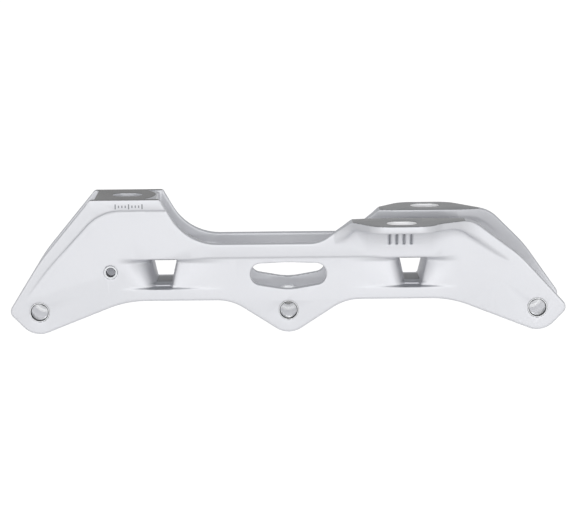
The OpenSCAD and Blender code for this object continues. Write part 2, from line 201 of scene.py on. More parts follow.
class StageSizes(bpy.types.PropertyGroup):
    """Where the camera stands and what it looks at"""
    distance: length("Camera distance", 1000, "From the camera to the point that it looks at")
    focal: length("Lens", 127.7, "Focal length on a 36 mm sensor")
    pitch: angle("Pitch", 10.91, "How far the camera looks down")
    yaw: angle("Yaw", -0.28, "How far the camera stands towards the toe")
    roll: angle("Roll", -0.52, "How far the camera is tilted about its own line of sight")
    aim_x: length("Aim along", -1.5, "Point looked at, along the frame")
    aim_z: length("Aim height", 32.5, "Point looked at, above the floor")


def in_mm(group):
    """All lengths of a property group as plain numbers in millimetres, and its other values as they are."""
    found = {}
    for key, rna in group.bl_rna.properties.items():
        if rna.type == "FLOAT" and not rna.is_array:
            found[key] = getattr(group, key) / MM if rna.unit == "LENGTH" else getattr(group, key)
    return SimpleNamespace(**found)


# Outlines

# Corners of the side view: roundings in mm, and slopes of the edges beside the lobes
TIP_R, TIP_FALL, END_RISE, MID_RISE = 3.8, math.radians(46), math.radians(21.6), math.radians(33)
BELLY_R, MID_BELLY_R, SEAT_FOOT_R, SEAT_BACK_R, TOWER_FOOT_R = 50, 24, 15, 3, 26.5
HEEL_CORNER_R, TOWER_CORNER_R, HEEL_BEND_R, TOE_TOP_R, TOE_BEND_R = 2, 1.5, 90, 15, 60
# Bend of the toe slope: its share of the slope's length, and how far it stands out
TOE_BEND_SHARE, TOE_BULGE = 0.5, {OUTER: 3.9, INNER: 3.8}
# Top view of an ear: roundings, run of its root and how far the root lies under the wall's face
EAR_CORNER_R, EAR_ROOT_R, EAR_ROOT_RUN, EAR_SINK = 12, 16, 24, 0.3
# Corners of the flare to the toe, as place ahead of the slot, distance out from the wall and radius
TOE_FLARE = {OUTER: [(19.4, 11.1, 8), (33.4, 2.4, 30)], INNER: [(26.6, 1, 8)]}
TOE_FLARE_END = 108
# Lower edge of an ear's band: its start behind the slot, its low end, the end of its rise and its rounding
BAND_START, BAND_LOW, BAND_RISE, BAND_R = 34.5, 37.5, 22, 5
SLOT_X = {OUTER: PLACES["front_outer_slot"][0], INNER: PLACES["front_inner_slot"][0]}
SLOT_Y = PLACES["front_inner_slot"][1]
REAR_SLOT_X = PLACES["rear_boot_slot"][0]
BRAKE_X, _, BRAKE_Z = PLACES["outer_brake_hole"]
# Shortest edge of an outline that counts, squared
LEAST_EDGE = 1e-12


def inset(a, b, c, from_a, from_c):
    """Corner b moved into its corner until it lies at one distance from its edge towards a and at another
    from its edge towards c: along each edge by the distance from the other one over the sine of the
    corner's angle."""
    a, b, c = (np.asarray(p[:2], float) for p in (a, b, c))
    u = (a - b) / np.linalg.norm(a - b)
    v = (c - b) / np.linalg.norm(c - b)
    return b + (u * from_c + v * from_a) / math.sin(math.acos(float(u @ v)))


def rounded(corners, steps=14):
    """Points of a closed outline whose corners (x, y, radius) are rounded: on each corner an arc is swept
    round the centre that lies at the radius from both edges, from one touching point to the other."""
    c = np.array(corners, float)
    p, r = c[:, :2], c[:, 2:]
    u = np.roll(p, 1, 0) - p
    v = np.roll(p, -1, 0) - p
    u /= np.linalg.norm(u, axis=1, keepdims=True)
    v /= np.linalg.norm(v, axis=1, keepdims=True)
    half = np.arccos(np.clip((u * v).sum(1, keepdims=True), -1, 1)) / 2
    bisector = (u + v) / np.linalg.norm(u + v, axis=1, keepdims=True)
    centre = p + bisector * r / np.sin(half)
    first = p + u * r / np.tan(half) - centre
    turn = np.sign(v[:, :1] * u[:, 1:] - v[:, 1:] * u[:, :1])
    t = turn * (math.pi - 2 * half) * np.linspace(0, 1, steps)[None, :]
    x = centre[:, :1] + first[:, :1] * np.cos(t) - first[:, 1:] * np.sin(t)
    y = centre[:, 1:] + first[:, :1] * np.sin(t) + first[:, 1:] * np.cos(t)
    return np.stack([x, y], -1).reshape(-1, 2)


def outline_distance(px, py, outline, parts=24):
    """Signed distance from points to a closed outline, negative inside: the least distance to any of its
    edges, with the sign from how often a ray along the first axis crosses it."""
    px, py = np.broadcast_arrays(px, py)
    a = outline
    e = np.roll(outline, -1, 0) - a
    kept = (e ** 2).sum(1) > LEAST_EDGE
    a, e = a[kept], e[kept]
    found = []
    for qx, qy in zip(np.array_split(px.ravel(), parts), np.array_split(py.ravel(), parts)):
        dx = qx[:, None] - a[:, 0]
        dy = qy[:, None] - a[:, 1]
        t = np.clip((dx * e[:, 0] + dy * e[:, 1]) / (e ** 2).sum(1), 0, 1)
        near = np.sqrt(((dx - t * e[:, 0]) ** 2 + (dy - t * e[:, 1]) ** 2).min(1))
        spans = (dy >= 0) != (dy - e[:, 1] >= 0)
        with np.errstate(divide="ignore", invalid="ignore"):
            hits = spans & (dx < dy * e[:, 0] / e[:, 1])
        found.append(np.where(hits.sum(1) % 2 == 1, -near, near))
    return np.concatenate(found).reshape(px.shape).astype(np.float32)


def lobe_corner(s, x, slope_in, slope_out):
    """Corner that, rounded to the lobe's radius, is concentric with the axle at x."""
    half, down = (slope_out - slope_in) / 2, (slope_out + slope_in) / 2 - math.pi / 2
    far = s.lobe_r / math.cos(half)
    return x + far * math.cos(down), s.axle_h + far * math.sin(down), s.lobe_r


def edge_run(s, slope):
    """Distance from an axle at which the edge that leaves its lobe at a slope reaches the belly."""
    return s.lobe_r * math.sin(slope) + (s.belly_h - s.axle_h + s.lobe_r * math.cos(slope)) / math.tan(slope)


def tip(s, reach):
    """Height of the edge that falls from a tip to its lobe, at a distance from the axle."""
    past = reach - s.lobe_r * math.sin(TIP_FALL)
    return s.axle_h - s.lobe_r * math.cos(TIP_FALL) + past * math.tan(TIP_FALL)


def stations(s, side):
    """Named corners of the side outline, as (x, z)."""
    heel_tip = np.array([-s.axle_pitch - s.heel_reach, tip(s, s.heel_reach)])
    toe_tip = np.array([s.axle_pitch + s.toe_reach, tip(s, s.toe_reach)])
    ahead = s.outer_seat_ahead if side == OUTER else s.inner_seat_ahead
    seat_end = np.array([SLOT_X[side] + ahead, s.front_seat_h])
    return SimpleNamespace(
        heel_tip=heel_tip, toe_tip=toe_tip, seat_end=seat_end,
        toe_bend=seat_end + (toe_tip - seat_end) * TOE_BEND_SHARE + [0, TOE_BULGE[side]],
        heel_bend=np.array([heel_tip[0] + s.heel_bend_ahead, s.heel_bend_h]),
        seat_heel=np.array([-s.rear_seat_back, s.rear_seat_h]),
        seat_toe=np.array([-s.rear_seat_front, s.rear_seat_h]))


def side_outline(s, side):
    """Side view of one wall, as (x, z)."""
    at = stations(s, side)
    end, mid = edge_run(s, END_RISE), edge_run(s, MID_RISE)
    seat_start = SLOT_X[side] - s.seat_behind
    return rounded([
        (*at.heel_tip, TIP_R),
        lobe_corner(s, -s.axle_pitch, -TIP_FALL, END_RISE),
        (-s.axle_pitch + end, s.belly_h, BELLY_R),
        (-mid, s.belly_h, MID_BELLY_R),
        lobe_corner(s, 0, -MID_RISE, MID_RISE),
        (mid, s.belly_h, MID_BELLY_R),
        (s.axle_pitch - end, s.belly_h, BELLY_R),
        lobe_corner(s, s.axle_pitch, -END_RISE, TIP_FALL),
        (*at.toe_tip, TIP_R),
        (*at.toe_bend, TOE_BEND_R),
        (*at.seat_end, TOE_TOP_R),
        (seat_start, s.front_seat_h, SEAT_BACK_R),
        (seat_start - s.seat_rise_run, s.saddle_h, SEAT_FOOT_R),
        (-s.tower_foot_back, s.saddle_h, TOWER_FOOT_R),
        (*at.seat_toe, TOWER_CORNER_R),
        (*at.seat_heel, HEEL_CORNER_R),
        (*at.heel_bend, HEEL_BEND_R)])


def ear_plan(s, side):
    """Top view of one ear and the flare that leads from it to the toe, as (x, distance from the middle). It
    leaves the wall in a wide curve, from a root just under its face, and its toe end dives into the wall."""
    x = SLOT_X[side]
    back, ahead = x - s.ear_edge / 2, x + s.ear_edge / 2
    root = s.wall_out - EAR_SINK
    sink = s.wall_out - s.wall_in
    flare = [(x + dx, s.wall_out + out, r) for dx, out, r in reversed(TOE_FLARE[side])]
    last = flare[0]
    fall = (last[1] - s.wall_out) / (TOE_FLARE_END - last[0])
    return rounded([
        (TOE_FLARE_END + sink / fall, s.wall_in, 0), *flare,
        (ahead, s.ear_reach, EAR_CORNER_R), (back, s.ear_reach, EAR_CORNER_R),
        (back - s.ear_run, root, EAR_ROOT_R), (back - s.ear_run - EAR_ROOT_RUN, root, 0),
        (back - s.ear_run - EAR_ROOT_RUN, s.wall_in, 0)])


def ear_band(s, side):
    """Side view of the band that an ear keeps to: its lower edge comes up beside the seat's rise, runs
    along under the seat at the ear's thickness and then keeps its width under the toe slope."""
    at = stations(s, side)
    x, high = SLOT_X[side], s.rear_seat_h
    seat = np.array([x + s.ear_edge / 2, s.front_seat_h])
    along = (at.toe_tip - at.toe_bend) / np.linalg.norm(at.toe_tip - at.toe_bend)
    across = np.array([along[1], -along[0]])
    return rounded([
        (x - BAND_START, high, 0), (x - BAND_START, BAND_LOW, 0),
        (x - BAND_RISE, s.front_seat_h - s.ear_t, BAND_R),
        (*inset(seat, at.seat_end, at.toe_bend, s.ear_t, s.toe_rim_w), TOE_TOP_R),
        (*inset(at.seat_end, at.toe_bend, at.toe_tip, s.toe_rim_w, s.toe_rim_w), 0),
        (*(at.toe_tip + across * s.toe_rim_w), 0), (at.toe_tip[0], high, 0)])


# Fields: negative inside the metal, in millimetres

def meet(a, b, r):
    """Solid where both are, with the edge between them rounded to r: inside the rounding the two distances
    to the faces moved in by r combine as the sides of a right angle."""
    return np.minimum(np.maximum(a, b), -r) + np.hypot(np.maximum(a + r, 0), np.maximum(b + r, 0))


def join(a, b, r):
    """Solid where either is, with the corner between them filled to a radius r."""
    return np.maximum(np.minimum(a, b), r) - np.hypot(np.maximum(r - a, 0), np.maximum(r - b, 0))


def soften(a, b, reach):
    """Solid where either is, with the corner between them filled by a soft curve that leaves each face
    gently: the lesser distance, less a sixth of the reach times the cube of how near the two are."""
    near = np.maximum(reach - np.abs(a - b), 0) / reach
    return np.minimum(a, b) - near ** 3 * reach / 6


def ease(low, high, value):
    """Smooth step from 0 at low to 1 at high: 3 t squared less 2 t cubed."""
    t = np.clip((value - low) / (high - low), 0, 1)
    return t * t * (3 - 2 * t)


def stadium(x, y, long, wide):
    """Signed distance to a stadium along the first axis: that to its middle line less half its width."""
    return np.hypot(np.maximum(np.abs(x) - (long - wide) / 2, 0), y) - wide / 2


def window_half(s, z):
    """Half width of a bridge window at a height, carried on past its floor and roof."""
    rise = (s.tunnel_roof_w - s.tunnel_floor_w) / 2 / (s.tunnel_roof - s.tunnel_floor)
    return s.tunnel_floor_w / 2 + (z - s.tunnel_floor) * rise


# A funnel, in mm and shares: what is left at its foot of its flank's depth and of its spread, the share of
# its run before it fades out, and the run of its steep edge on the heel side and on the toe side
FUNNEL_FOOT, SPREAD_FOOT, FADE_START, EDGE_HEEL, EDGE_TOE = 0.4, 0.35, 0.5, 1.5, 0.3
# Share of a flank's depth on the toe side of the front window, which opens more gently
TOE_SHARE = 0.6
# A funnel's ends: under and over its floor, and where its lip starts and ends over the window's roof
FLOOR_UNDER, FLOOR_OVER, LIP_START, LIP_END = 0.2, 0.4, 0.3, 2.6
# The low bulge before a window: share of the depth that it fills, run in which it fades beside the window,
# and its ends over and under the window's floor
BULGE_SHARE, BULGE_RUN, BULGE_OVER, BULGE_UNDER = 0.55, 1.5, 0.6, 0.7
# The crease: its soft step under and over its height, how far past a bridge it keeps its depth, how far it
# dips at a bridge, and the runs over which it dips
CREASE_UNDER, CREASE_OVER, CREASE_FULL, CREASE_DIP, DIP_START, DIP_FULL = 0.3, 0.6, 4, 0.9, 26, 8
# The heel panel: its reach past the tower's foot, its corner, and its soft edge outside and inside its line
PANEL_PAST, PANEL_R, PANEL_OUT, PANEL_IN = 8, 22, 0.25, 0.55


def funnels(s, x, z):
    """Depth of the funnels at the bridge windows, over the side view. A funnel is deepest at its window and
    falls off exponentially with the run from the window's edge: fast at the edge, and then in a flank that
    grows deeper and wider with height, from a narrow foot to the crease, and is gentler towards the middle
    axle and the toe. The steep edge is softer on the heel side. A gentle hollow surrounds it, and a low
    bulge stands before the window's floor."""
    run = s.axle_pitch / 2 - np.abs(x)
    end = np.where(run > 0, s.funnel_long, s.funnel_short)
    off = np.maximum(np.abs(run) - window_half(s, z), 0)
    tall = np.clip((z - s.funnel_floor) / (s.tunnel_roof - s.funnel_floor), 0, 1)
    spread = np.where(run > 0, s.funnel_mid, s.funnel_end) * (SPREAD_FOOT + (1 - SPREAD_FOOT) * tall)
    flank_end = np.where(x > 0, TOE_SHARE, 1) * s.flank_end
    flank = np.where(run > 0, s.flank_mid, flank_end) * (FUNNEL_FOOT + (1 - FUNNEL_FOOT) * tall)
    edge = np.where(run * x > 0, EDGE_HEEL, EDGE_TOE)
    depth = flank * np.exp(-off / spread) + s.ledge_depth * np.exp(-off / s.ledge_run)
    depth = depth + (s.funnel_depth - flank) * np.exp(-off / edge)
    depth = depth * (1 - ease(FADE_START * end, end, np.abs(run)))
    floor = ease(s.funnel_floor - FLOOR_UNDER, s.funnel_floor + FLOOR_OVER, z)
    lip = 1 - ease(s.tunnel_roof + LIP_START, s.tunnel_roof + LIP_END, z)
    low = ease(s.tunnel_floor + BULGE_OVER, s.tunnel_floor - BULGE_UNDER, z)
    bulge = BULGE_SHARE * np.exp(-off / BULGE_RUN) * low
    return depth * floor * (1 - bulge) * lip


def crease(s, x, z):
    """Depth of the lean under the crease, over the side view: in proportion to the height over the belly,
    up to a soft step that dips at the bridges."""
    bridge = s.axle_pitch / 2
    along = ease(bridge + s.funnel_short, bridge + CREASE_FULL, np.abs(x))
    lean = s.crease_step * along * np.clip((z - s.belly_h) / (s.crease_h - s.belly_h), 0, 1)
    step = s.crease_h - CREASE_DIP * ease(DIP_START, DIP_FULL, np.abs(bridge - np.abs(x)))
    return lean * (1 - ease(step - CREASE_UNDER, step + CREASE_OVER, z))


def heel_panel(s, x, z):
    """Depth of the heel panel, over the side view: in proportion to the height over the line from the rear
    lobe to the saddle, inside an outline that lies under the rims of the tower and the heel slope."""
    at = stations(s, OUTER)
    low = np.array([-s.axle_pitch - s.heel_reach / 2, s.axle_h + s.lobe_r / 2])
    high = np.array([-s.tower_foot_back + PANEL_PAST, s.saddle_h])
    panel = outline_distance(x, z, rounded([
        (high[0], low[1], 0), (high[0], s.rear_seat_h - s.rim_w, 0),
        (*inset(at.seat_toe, at.seat_heel, at.heel_bend, s.rim_w, s.heel_rim_w), PANEL_R),
        (*inset(at.seat_heel, at.heel_bend, at.heel_tip, s.rim_w, s.rim_w), HEEL_BEND_R),
        (*low, 0)]))
    line = (high - low) / np.linalg.norm(high - low)
    over = (z - low[1]) * line[0] - (x - low[0]) * line[1]
    depth = s.panel_depth * np.maximum(over, 0) / (s.rear_seat_h - s.saddle_h)
    return depth * ease(PANEL_OUT, -PANEL_IN, panel)


# The plain grooves under the outer ear, in mm: their soft sides and ends, and the depths inside the wall's
# face over which they fade
GROOVES, GROOVE_DEPTH, GROOVE_PITCH, GROOVE_LOW, GROOVE_HIGH = 4, 1.0, 3.5, 43.2, 48.2
GROOVE_OUT, GROOVE_IN, GROOVE_SOFT, GROOVE_FADE, GROOVE_FULL = 0.9, 0.4, 0.3, 1.2, 2.0
GROOVE_START = SLOT_X[OUTER] - GROOVE_PITCH * (GROOVES - 1) / 2
GROOVE_Z, GROOVE_HALF = (GROOVE_LOW + GROOVE_HIGH) / 2, (GROOVE_HIGH - GROOVE_LOW) / 2


def grooves(s, x, a, z):
    """Depth of the grooves. The place along the frame, in pitches from the first, gives the nearest one."""
    k = np.round((x - GROOVE_START) / GROOVE_PITCH)
    gap = np.abs(x - GROOVE_START - k * GROOVE_PITCH)
    groove = ease(GROOVE_OUT, GROOVE_IN, gap)
    groove = groove * ease(GROOVE_HALF + GROOVE_SOFT, GROOVE_HALF - GROOVE_SOFT, np.abs(z - GROOVE_Z))
    groove = GROOVE_DEPTH * (groove * ((k >= 0) & (k < GROOVES)))
    return groove * ease(s.wall_in + GROOVE_FADE, s.wall_in + GROOVE_FULL, a)


FAR_AWAY = np.float32(1e3)
# How far the rear plate lies inside the ends of its seat
PLATE_INSET = 2
# Roundings: bridges and plate at the wheel wells, their corner with a wall, and the outer face's edge
WELL_EDGE, WALL_CORNER, FACE_EDGE = 0.5, 1.2, 0.3
# Roundings of the openings: bridge windows, middle window, bolt heads' seats, slots and holes
WINDOW_EDGE, EYE_EDGE, HEAD_EDGE, SLOT_EDGE, HOLE_EDGE = 0.9, 0.4, 0.4, 0.3, 0.15
# The cove under an ear: its reach as a share of how far the ear hangs over, and its least reach
COVE_SHARE, COVE_LEAST = 0.9, 0.01
# Lower edge of an ear: its rounding, and what the toe end and the heel end add over a run from the slot
EAR_LOW_R, EAR_TOE_R, EAR_TOE_RUN, EAR_HEEL_R, EAR_HEEL_RUN = 0.7, 1.8, (18, 40), 3, (-18, -30)
# Depths under a seat between which the cast edge turns into the milled one
MILLED_START, MILLED_FULL = 2.4, 0.7
# Toe end of the rear seat: place of its bowed line, the bow and where it is reached, and the slope ahead
TONGUE_X, TONGUE_BOW, TONGUE_REACH, TONGUE_FALL = -65, 3.5, 12, 0.25
# The middle window: rise of its floor's ends, dip of its floor's middle, crown of its roof, roundings
EYE_RISE, EYE_DIP, EYE_CROWN, EYE_END_R, EYE_FLOOR_R, EYE_ROOF_R = 2.2, 1.1, 0.8, 5, 30, 60


def wall(s, x, a, z):
    """A wall with half of what joins it to its twin. Its outer face is sunk by the funnels, the crease and
    the heel panel, and the distance to it is divided by the length of that slope. The bridges and the rear
    plate are blocks less the wheel wells, which are discs about the axles with rounded rims."""
    depth = funnels(s, x, z) + crease(s, x, z) + heel_panel(s, x, z)
    slope_x, slope_z = np.gradient(depth[:, 0, :], x.ravel(), z.ravel())
    steep = (1 / np.sqrt(1 + slope_x ** 2 + slope_z ** 2))[:, None, :].astype(np.float32)
    face = (a - s.wall_out + depth) * steep
    wells = FAR_AWAY
    for axle in (-s.axle_pitch, 0, s.axle_pitch):
        rim = np.hypot(x - axle, z - s.axle_h) - (s.well_r - s.well_round)
        flat = np.maximum(a - (s.wall_in - s.well_round), 0)
        wells = np.minimum(wells, np.hypot(np.maximum(rim, 0), flat) + np.minimum(rim, 0) - s.well_round)
    bridge = s.axle_pitch / 2
    middle, half = (s.bridge_top + s.bridge_bottom) / 2, (s.bridge_top - s.bridge_bottom) / 2
    blocks = np.maximum(np.abs(np.abs(x) - bridge) - bridge / 2, np.abs(z - middle) - half)
    middle, half = (s.rear_seat_back + s.rear_seat_front) / 2, (s.rear_seat_back - s.rear_seat_front) / 2
    plate = np.maximum(s.rear_seat_h - s.rear_plate_t - z, np.abs(x + middle) - half + PLATE_INSET)
    between = meet(np.minimum(blocks, plate) + 0 * a, -wells, WELL_EDGE)
    return meet(face, join(s.wall_in - a, between, WALL_CORNER), FACE_EDGE)


def with_ear(s, side, x, a, z):
    """A wall with its ear: the ear's plan within its band, joined on over a cove that reaches out by a
    share of how far the ear hangs over the wall there."""
    plan_line = ear_plan(s, side)
    order = np.argsort(plan_line[:, 0])
    hang = np.interp(x, plan_line[order, 0], plan_line[order, 1]) - s.wall_out
    cove = np.clip(COVE_SHARE * hang, COVE_LEAST, s.cove_reach).astype(np.float32)
    ahead = x - SLOT_X[side]
    low_r = EAR_LOW_R + EAR_TOE_R * ease(*EAR_TOE_RUN, ahead) + EAR_HEEL_R * ease(*EAR_HEEL_RUN, ahead)
    plan = outline_distance(x, a, plan_line)
    band = outline_distance(x, z, ear_band(s, side))
    return soften(wall(s, x, a, z), meet(plan, band, low_r.astype(np.float32)), cove)


def openings(s, side, x, a, z):
    """Windows, bolt heads' seats, slots and holes, as pairs of a field and the rounding of its edge."""
    windows = np.maximum(np.abs(np.abs(x) - s.axle_pitch / 2) - window_half(s, z),
                         np.maximum(s.tunnel_floor - z, z - s.tunnel_roof))
    half, floor, roof = s.mid_window_w / 2, s.mid_window_bottom, s.mid_window_top
    eye = outline_distance(x, z, rounded([
        (-half, floor + EYE_RISE, EYE_END_R), (0, floor - EYE_DIP, EYE_FLOOR_R),
        (half, floor + EYE_RISE, EYE_END_R), (half, roof, EYE_END_R),
        (0, roof + EYE_CROWN, EYE_ROOF_R), (-half, roof, EYE_END_R)]))
    head = np.maximum(stadium(x - SLOT_X[side], a - SLOT_Y, s.head_w + s.slot_l - s.slot_w, s.head_w),
                      np.maximum(z - s.front_seat_h + s.ear_t, s.belly_h - z))
    slot = np.maximum(stadium(x - SLOT_X[side], a - SLOT_Y, s.slot_l, s.slot_w), s.belly_h - z)
    rear_slot = np.maximum(stadium(x - REAR_SLOT_X, a, s.slot_l, s.slot_w), s.saddle_h - z)
    holes = np.hypot(x - BRAKE_X, z - BRAKE_Z) - s.insert_hole_d / 2
    for axle in (-s.axle_pitch, 0, s.axle_pitch):
        holes = np.minimum(holes, np.hypot(x - axle, z - s.axle_h) - s.bush_hole_d / 2)
    return ((windows, WINDOW_EDGE), (eye, EYE_EDGE), (head, HEAD_EDGE),
            (np.minimum(slot, rear_slot), SLOT_EDGE), (holes, HOLE_EDGE))


def wall_side(s, side, x, a, z):
    """Field of one half of the casting, for distances a from the middle plane on that side: the wall with
    its ear, cut to the side outline, then the toe end of the rear seat, which falls off ahead of a bowed
    line between the walls, the grooves and the openings."""
    seat_h = np.where(x < 0, s.rear_seat_h, s.front_seat_h)
    milled = ease(seat_h - MILLED_START, seat_h - MILLED_FULL, z)
    edge = (s.edge_r + (s.milled_edge_r - s.edge_r) * milled).astype(np.float32)
    body = meet(with_ear(s, side, x, a, z), outline_distance(x, z, side_outline(s, side)), edge)
    tongue = TONGUE_X - TONGUE_BOW * (a / TONGUE_REACH) ** 2
    fall = z - s.rear_seat_h + TONGUE_FALL * np.maximum(x - tongue, 0)
    body = np.maximum(body, np.where((a < s.wall_in) & (x < 0), fall, -FAR_AWAY))
    if side == OUTER:
        body = body + grooves(s, x, a, z)
    for room, rounding in openings(s, side, x, a, z):
        body = meet(body, -room, rounding)
    return body.astype(np.float32)


def casting_field(s):
    """The whole casting on an even grid: the outer half, then the inner half. Returns the field and the
    grid's first corner."""
    pad = 2 * s.grid
    reach = s.axle_pitch + max(s.heel_reach, s.toe_reach) + pad
    x = np.arange(-reach, reach, s.grid, dtype=np.float32)[:, None, None]
    n = math.ceil((s.ear_reach + pad) / s.grid)
    a = ((np.arange(n, dtype=np.float32) + 0.5) * s.grid)[None, :, None]
    z = np.arange(-pad, s.rear_seat_h + pad, s.grid, dtype=np.float32)[None, None, :]
    near = wall_side(s, OUTER, x, a, z)
    far = wall_side(s, INNER, x, a, z)
    field = np.concatenate([near[:, ::-1, :], far], 1)
    first = np.array([x[0, 0, 0], -a[0, -1, 0], z[0, 0, 0]])
    return field, first


# Surface

CORNERS = np.array([(i, j, k) for i in (0, 1) for j in (0, 1) for k in (0, 1)])
EDGES = [(0, 4), (1, 5), (2, 6), (3, 7), (0, 2), (1, 3), (4, 6), (5, 7), (0, 1), (2, 3), (4, 5), (6, 7)]
# Moves of a point onto the surface, the share of the way that each goes, and the least slope squared
MOVES, MOVE_SHARE, LEAST_SLOPE = 6, 0.8, 1e-9


def net(field):
    """Surface where the field is zero. Each cell that it crosses gets one point, the mean of the crossings
    on the cell's edges, moved along the field's slope onto the zero. Each grid edge that it crosses gets
    one quad through the four cells round that edge, turned so that it faces out of the metal."""
    inside = field < 0
    n = np.array(field.shape) - 1
    count = sum(inside[i:i + n[0], j:j + n[1], k:k + n[2]].astype(np.int8) for i, j, k in CORNERS)
    crossed = (count > 0) & (count < 8)
    index = np.full(crossed.shape, -1, np.int32)
    cells = np.argwhere(crossed)
    index[crossed] = np.arange(len(cells))
    values = np.stack([field[tuple((cells + c).T)] for c in CORNERS], 1).astype(float)

    total, hits = np.zeros((len(cells), 3)), np.zeros((len(cells), 1))
    for p, q in EDGES:
        f, g = values[:, p:p + 1], values[:, q:q + 1]
        cross = (f < 0) != (g < 0)
        t = np.where(cross, f / np.where(cross, f - g, 1), 0)
        total += np.where(cross, CORNERS[p] + t * (CORNERS[q] - CORNERS[p]), 0)
        hits += cross
    point = total / hits
    v = values.reshape(-1, 2, 2, 2)
    for _ in range(MOVES):
        w = np.stack([1 - point, point], -1)
        value = np.einsum("nijk,ni,nj,nk->n", v, w[:, 0], w[:, 1], w[:, 2])
        slope = np.stack([
            np.einsum("njk,nj,nk->n", v[:, 1] - v[:, 0], w[:, 1], w[:, 2]),
            np.einsum("nik,ni,nk->n", v[:, :, 1] - v[:, :, 0], w[:, 0], w[:, 2]),
            np.einsum("nij,ni,nj->n", v[:, :, :, 1] - v[:, :, :, 0], w[:, 0], w[:, 1])], 1)
        move = value / np.maximum((slope ** 2).sum(1), LEAST_SLOPE)
        point = np.clip(point - MOVE_SHARE * move[:, None] * slope, 0, 1)

    quads = []
    for axis in range(3):
        second, third = (axis + 1) % 3, (axis + 2) % 3
        here = np.moveaxis(inside, (axis, second, third), (0, 1, 2))
        cell = np.moveaxis(index, (axis, second, third), (0, 1, 2))
        low, high = here[:-1, 1:-1, 1:-1], here[1:, 1:-1, 1:-1]
        i, j, k = np.nonzero(low != high)
        ring = np.stack([cell[i, j, k], cell[i, j + 1, k], cell[i, j + 1, k + 1], cell[i, j, k + 1]], 1)
        out = low[i, j, k]
        quads.append(np.where(out[:, None], ring, ring[:, ::-1]))
    return cells + point, np.concatenate(quads)


def mesh_object(name, points, faces):
    """A mesh object at the origin, from an array of points in metres and an array of quads."""
    mesh = bpy.data.meshes.new(name)
    mesh.vertices.add(len(points))
    mesh.vertices.foreach_set("co", points.astype(np.float32).ravel())
    mesh.loops.add(faces.size)
    mesh.loops.foreach_set("vertex_index", faces.astype(np.int32).ravel())
    mesh.polygons.add(len(faces))
    mesh.polygons.foreach_set("loop_start", np.arange(0, faces.size, faces.shape[1], dtype=np.int32))
    mesh.update(calc_edges=True)
    mesh.validate()
    piece = bpy.data.objects.new(name, mesh)
    bpy.context.scene.collection.objects.link(piece)
    return piece


def thin_out(piece, triangles):
    """Brings a piece under a number of triangles by collapsing the edges that change its shape least."""
    mesh = piece.data
    mesh.calc_loop_triangles()
    ratio = triangles / len(mesh.loop_triangles)
    if ratio < 1:
        modifier = piece.modifiers.new("thin", "DECIMATE")
        modifier.ratio = ratio
        modifier.use_collapse_triangulate = True
        made = bpy.data.meshes.new_from_object(piece.evaluated_get(bpy.context.evaluated_depsgraph_get()))
        piece.modifiers.clear()
        piece.data = made
        bpy.data.meshes.remove(mesh)
        made.name = piece.name


# Materials

def add(tree, kind, inputs=None, **settings):
    """Adds one shader node with its settings. An input is a value, or a node or output socket that it is
    linked to. Of a node, that is the first output in use."""
    made = tree.nodes.new("ShaderNode" + kind)
    for key, value in settings.items():
        setattr(made, key, value)
    for key, value in (inputs or {}).items():
        if isinstance(value, bpy.types.Node):
            value = next(socket for socket in value.outputs if socket.enabled)
        if isinstance(value, bpy.types.NodeSocket):
            tree.links.new(value, made.inputs[key])
        else:
            made.inputs[key].default_value = value
    return made


def blank(owner):
    """The emptied node tree of a new material or world."""
    owner.use_nodes = True
    owner.node_tree.nodes.clear()
    return owner.node_tree


def darker(tone, share):
    """A colour at a share of its brightness."""
    return (*(share * part for part in tone[:3]), 1.0)


def give(piece, material):
    """Puts one material on all of a piece."""
    piece.data.materials.clear()
    piece.data.materials.append(material)


def within(tree, *ranges):
    """Mask of the places at which each value lies within a half width of its middle."""
    mask = 1.0
    for value, middle, half in ranges:
        near = add(tree, "Math", {0: value, 1: middle, 2: half}, operation="COMPARE")
        mask = add(tree, "Math", {0: mask, 1: near}, operation="MULTIPLY")
    return mask


# Rows of upright marks on the outer face, in mm: first place along the frame, pitch, count, middle height,
# half height and half width. The adjusting scale has short ticks with three long ones among them, and the
# plain grooves under the outer ear are darkened with painted shade.
SCALE_START, SCALE_PITCH, SCALE_Z = -83.4, 1.62, 62.8
MARK_ROWS = ((SCALE_START, SCALE_PITCH, 9, SCALE_Z, 0.6, 0.28),
             (SCALE_START, SCALE_PITCH * 4, 3, SCALE_Z, 1.2, 0.28),
             (GROOVE_START, GROOVE_PITCH, GROOVES, GROOVE_Z, 2.4, 0.36))
OUTER_FACE = -16


def marks_and_groove_shade(tree, axes):
    """Mask of the rows of marks: the adjusting scale and the painted shade in the grooves. In each row the
    place along the frame, in pitches from the first mark, gives the nearest mark, and a mark covers the
    places within its half width and half height."""
    mask = 0.0
    for first, pitch, count, middle, half, wide in MARK_ROWS:
        place = add(tree, "MapRange", {"Value": axes["X"], "From Min": first * MM,
                                       "From Max": (first + pitch) * MM}, clamp=False)
        mark = add(tree, "Math", {0: place}, operation="ROUND")
        row = within(tree, (place, mark, wide / pitch), (mark, (count - 1) / 2, count / 2),
                     (axes["Z"], middle * MM, half * MM))
        mask = add(tree, "Math", {0: mask, 1: row}, operation="MAXIMUM")
    outside = add(tree, "Math", {0: axes["Y"], 1: OUTER_FACE * MM}, operation="LESS_THAN")
    return add(tree, "Math", {0: mask, 1: outside}, operation="MULTIPLY")


# Half of the room round an ear's slot, whose walls get painted light, along and across the frame, in mm
SLOT_ALONG, SLOT_ACROSS = 7.25, 4.75


